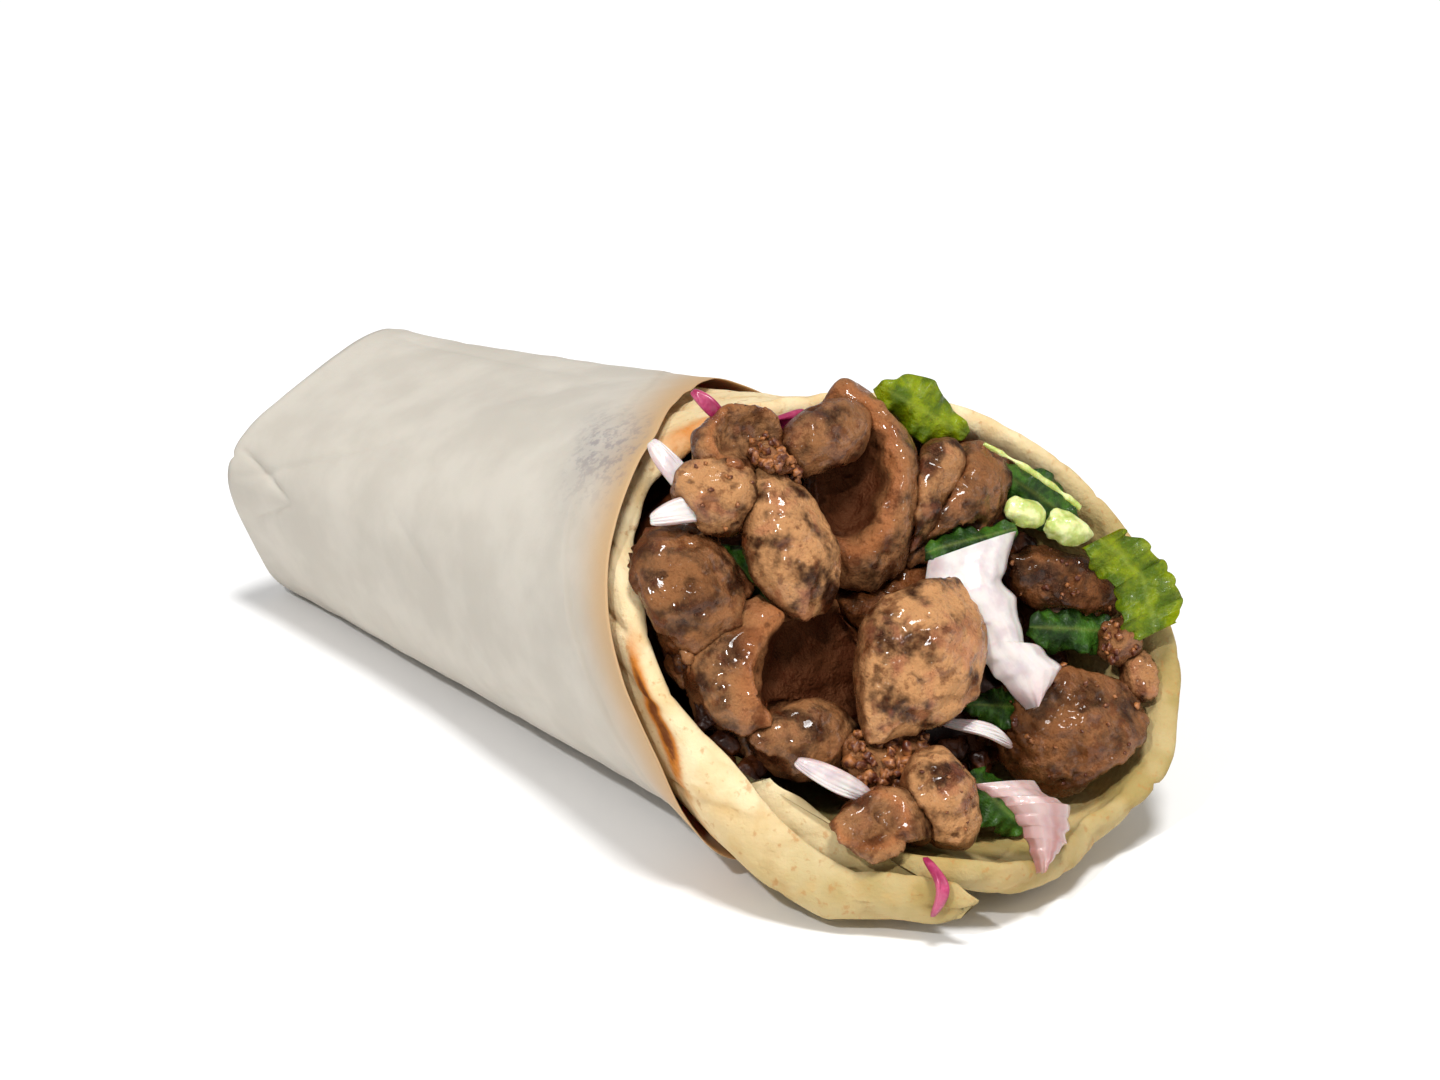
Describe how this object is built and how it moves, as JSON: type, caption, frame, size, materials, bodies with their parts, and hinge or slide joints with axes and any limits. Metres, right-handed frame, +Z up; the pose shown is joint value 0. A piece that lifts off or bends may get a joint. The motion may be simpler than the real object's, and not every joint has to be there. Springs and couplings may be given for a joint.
{
  "type": "liver sandwich",
  "caption": "Flatbread rolled round fried chicken livers, onion, lettuce and red cabbage, its closed end wrapped in paper.",
  "frame": {"origin": "middle of the box's underside, on the floor the roll lies on", "axes": "+X along the roll, from the folded paper end to the open mouth; +Y across it; +Z up"},
  "size_m": [0.1706, 0.0794, 0.0664],
  "materials": {
    "paper": "greaseproof, soft creases",
    "bread": "pale baked flatbread with toasted lines",
    "liver": "fried, glazed",
    "liver_dark": "wet, dark",
    "onion": "moist, pale",
    "leaf": "fresh leaf",
    "rib": "pale green rib",
    "cabbage": "pickled, glossy"
  },
  "bodies": {
    "root": {"cabbage_low": "cabbage", "cabbage_top": "cabbage", "filling_core": "liver_dark", "flatbread": "bread", "leaf_by_stem": "leaf", "leaf_left": "leaf", "leaf_low": "leaf", "leaf_low_middle": "leaf", "leaf_middle": "leaf", "leaf_right": "leaf", "lettuce_frill": "leaf", "lettuce_top": "leaf", "liver_arch_low": "liver", "liver_arch_top": "liver", "liver_broad": "liver", "liver_centre": "liver", "liver_chunk_left": "liver", "liver_chunk_right": "liver", "liver_curl": "liver", "liver_flaps": "liver", "liver_flat": "liver", "liver_in_arch": "liver", "liver_in_low_arch": "liver", "liver_join_low": "liver", "liver_join_top": "liver", "liver_knot": "liver", "liver_ledge": "liver", "liver_low_flat": "liver", "liver_low_round": "liver", "liver_pink": "liver", "liver_slim": "liver", "liver_sliver_left": "liver", "liver_teardrop": "liver", "onion_petal": "onion", "onion_petal_low": "onion", "onion_sliver": "onion", "onion_strip_left": "onion", "onion_strip_top": "onion", "onion_thread": "onion", "paper_wrap": "paper", "parsley_stem": "rib", "pickle_strip": "cabbage", "stalk_middle": "rib", "stalk_upper": "rib"}
  },
  "joints": []
}
